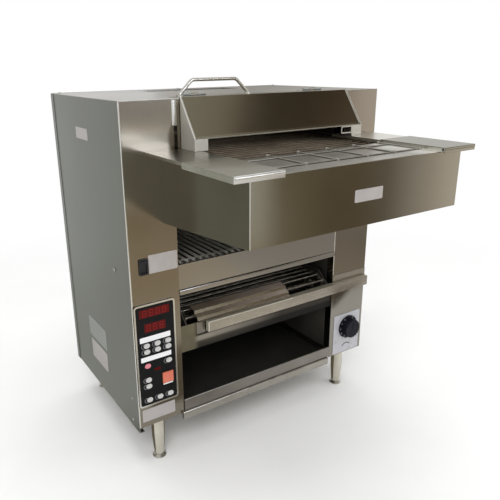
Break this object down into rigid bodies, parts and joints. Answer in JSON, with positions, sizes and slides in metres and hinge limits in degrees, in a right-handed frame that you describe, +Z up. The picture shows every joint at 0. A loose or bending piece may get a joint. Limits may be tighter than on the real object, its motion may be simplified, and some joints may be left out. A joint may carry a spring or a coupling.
{
  "type": "conveyor broiler",
  "caption": "Counter-top conveyor broiler with a loading feeder, lift-up hood, rod belts over gas burners, a landing grate, a bun belt, a drip tray and a control column.",
  "frame": {"origin": "on the bench, under the middle of the overall box", "axes": "+Z up, -Y toward the person who loads it, +X to that person's right"},
  "size_m": [0.778, 0.846, 0.9761],
  "materials": {
    "panel_steel": "satin brushed stainless sheet",
    "front_steel": "bright brushed stainless sheet with a warm tint",
    "bright_steel": "polished stainless edge and bar",
    "belt_steel": "heat-tinted stainless wire and plate",
    "chamber_steel": "heat-darkened stainless liner",
    "burner_iron": "scaled cast iron",
    "pipe_brass": "dull brass",
    "keypad_black": "matte moulded panel",
    "display_red": "dark red display window",
    "key_grey": "pale rubbery key",
    "key_orange": "orange-red key cap",
    "switch_black": "moulded switch",
    "knob_black": "phenolic knob",
    "plate_white": "white enamelled plate",
    "motor_grey": "grey enamel"
  },
  "bodies": {
    "cabinet": {"base_pan": "panel_steel", "left_side_panel": "panel_steel", "right_side_panel": "panel_steel", "rear_panel": "panel_steel", "top_panel": "panel_steel", "left_fascia": "front_steel", "right_fascia": "front_steel", "right_control_panel": "front_steel", "cross_band": "panel_steel", "left_inner_wall": "chamber_steel", "right_inner_wall": "chamber_steel", "chamber_back": "chamber_steel", "legs": "bright_steel", "leveling_feet": "bright_steel", "feeder_shroud": "front_steel", "feeder_deck": "panel_steel", "left_wing": "bright_steel", "right_wing": "bright_steel", "lane_guides": "bright_steel", "meat_rails": "belt_steel", "meat_belt": "belt_steel", "upper_burners": "burner_iron", "lower_burners": "burner_iron", "gas_manifold": "pipe_brass", "gas_valve": "pipe_brass", "discharge_grate": "belt_steel", "bun_housing": "front_steel", "landing_rail": "panel_steel", "bun_feed_plate": "panel_steel", "bun_belt": "belt_steel", "bun_elements": "belt_steel", "hood_hinges": "bright_steel", "keypad": "keypad_black", "display_lenses": "display_red", "stop_switch": "switch_black", "knob_plate": "plate_white", "thermostat": "motor_grey", "gearmotors": "motor_grey"},
    "hood_lid": {"hood": "front_steel", "hood_handle": "bright_steel"},
    "tray": {"drip_tray": "panel_steel"},
    "knob": {"thermostat_knob": "knob_black"},
    "meat_drive": {"meat_drive_shaft": "belt_steel"},
    "meat_idler": {"meat_idler_shaft": "belt_steel"},
    "bun_drive": {"bun_drive_shaft": "belt_steel"},
    "bun_idler": {"bun_idler_shaft": "belt_steel"},
    "rocker": {"stop_rocker": "switch_black"},
    "power_button": {"power_key": "key_orange"},
    "up_key_left_cap": {"up_key_left": "key_grey"},
    "up_key_middle_cap": {"up_key_middle": "key_grey"},
    "up_key_right_cap": {"up_key_right": "key_grey"},
    "down_key_left_cap": {"down_key_left": "key_grey"},
    "down_key_middle_cap": {"down_key_middle": "key_grey"},
    "down_key_right_cap": {"down_key_right": "key_grey"},
    "stop_key_cap": {"stop_key": "key_grey"},
    "select_key_upper_cap": {"select_key_upper": "key_grey"},
    "select_key_lower_cap": {"select_key_lower": "key_grey"},
    "mode_key_left_cap": {"mode_key_left": "key_grey"},
    "mode_key_middle_cap": {"mode_key_middle": "key_grey"},
    "mode_key_right_cap": {"mode_key_right": "key_grey"}
  },
  "joints": [
    {"name": "hood_hinge", "type": "hinge", "parent": "cabinet", "child": "hood_lid", "pos_m": [0.0135, -0.01, 0.938], "axis": [-1, 0, 0], "range_deg": [0, 130]},
    {"name": "tray_slide", "type": "slide", "parent": "cabinet", "child": "tray", "axis": [0, -1, 0], "range_m": [0, 0.35]},
    {"name": "knob_turn", "type": "hinge", "parent": "cabinet", "child": "knob", "pos_m": [0.3275, -0.068, 0.216], "axis": [0, 1, 0], "range_deg": [0, 270]},
    {"name": "meat_drive_turn", "type": "hinge", "parent": "cabinet", "child": "meat_drive", "pos_m": [0, 0.32817, 0.77867], "axis": [1, 0, 0], "continuous": true},
    {"name": "meat_idler_turn", "type": "hinge", "parent": "cabinet", "child": "meat_idler", "pos_m": [0, -0.20167, 0.77867], "axis": [1, 0, 0], "continuous": true},
    {"name": "bun_drive_turn", "type": "hinge", "parent": "cabinet", "child": "bun_drive", "pos_m": [0, 0.33613, 0.373], "axis": [1, 0, 0], "continuous": true},
    {"name": "bun_idler_turn", "type": "hinge", "parent": "cabinet", "child": "bun_idler", "pos_m": [0, -0.023, 0.373], "axis": [1, 0, 0], "continuous": true},
    {"name": "rocker_tilt", "type": "hinge", "parent": "cabinet", "child": "rocker", "pos_m": [-0.3515, -0.066, 0.558], "axis": [1, 0, 0], "range_deg": [-16, 0]},
    {"name": "power_press", "type": "slide", "parent": "cabinet", "child": "power_button", "axis": [0, 1, 0], "range_m": [0, 0.002], "stiffness_N_per_m": 500},
    {"name": "up_key_left_press", "type": "slide", "parent": "cabinet", "child": "up_key_left_cap", "axis": [0, 1, 0], "range_m": [0, 0.001], "stiffness_N_per_m": 400},
    {"name": "up_key_middle_press", "type": "slide", "parent": "cabinet", "child": "up_key_middle_cap", "axis": [0, 1, 0], "range_m": [0, 0.001], "stiffness_N_per_m": 400},
    {"name": "up_key_right_press", "type": "slide", "parent": "cabinet", "child": "up_key_right_cap", "axis": [0, 1, 0], "range_m": [0, 0.001], "stiffness_N_per_m": 400},
    {"name": "down_key_left_press", "type": "slide", "parent": "cabinet", "child": "down_key_left_cap", "axis": [0, 1, 0], "range_m": [0, 0.001], "stiffness_N_per_m": 400},
    {"name": "down_key_middle_press", "type": "slide", "parent": "cabinet", "child": "down_key_middle_cap", "axis": [0, 1, 0], "range_m": [0, 0.001], "stiffness_N_per_m": 400},
    {"name": "down_key_right_press", "type": "slide", "parent": "cabinet", "child": "down_key_right_cap", "axis": [0, 1, 0], "range_m": [0, 0.001], "stiffness_N_per_m": 400},
    {"name": "stop_key_press", "type": "slide", "parent": "cabinet", "child": "stop_key_cap", "axis": [0, 1, 0], "range_m": [0, 0.001], "stiffness_N_per_m": 400},
    {"name": "select_key_upper_press", "type": "slide", "parent": "cabinet", "child": "select_key_upper_cap", "axis": [0, 1, 0], "range_m": [0, 0.001], "stiffness_N_per_m": 400},
    {"name": "select_key_lower_press", "type": "slide", "parent": "cabinet", "child": "select_key_lower_cap", "axis": [0, 1, 0], "range_m": [0, 0.001], "stiffness_N_per_m": 400},
    {"name": "mode_key_left_press", "type": "slide", "parent": "cabinet", "child": "mode_key_left_cap", "axis": [0, 1, 0], "range_m": [0, 0.001], "stiffness_N_per_m": 400},
    {"name": "mode_key_middle_press", "type": "slide", "parent": "cabinet", "child": "mode_key_middle_cap", "axis": [0, 1, 0], "range_m": [0, 0.001], "stiffness_N_per_m": 400},
    {"name": "mode_key_right_press", "type": "slide", "parent": "cabinet", "child": "mode_key_right_cap", "axis": [0, 1, 0], "range_m": [0, 0.001], "stiffness_N_per_m": 400}
  ],
  "couplings": [
    {"joint": "meat_idler_turn", "follows": "meat_drive_turn", "ratio": 1},
    {"joint": "bun_idler_turn", "follows": "bun_drive_turn", "ratio": 1}
  ]
}
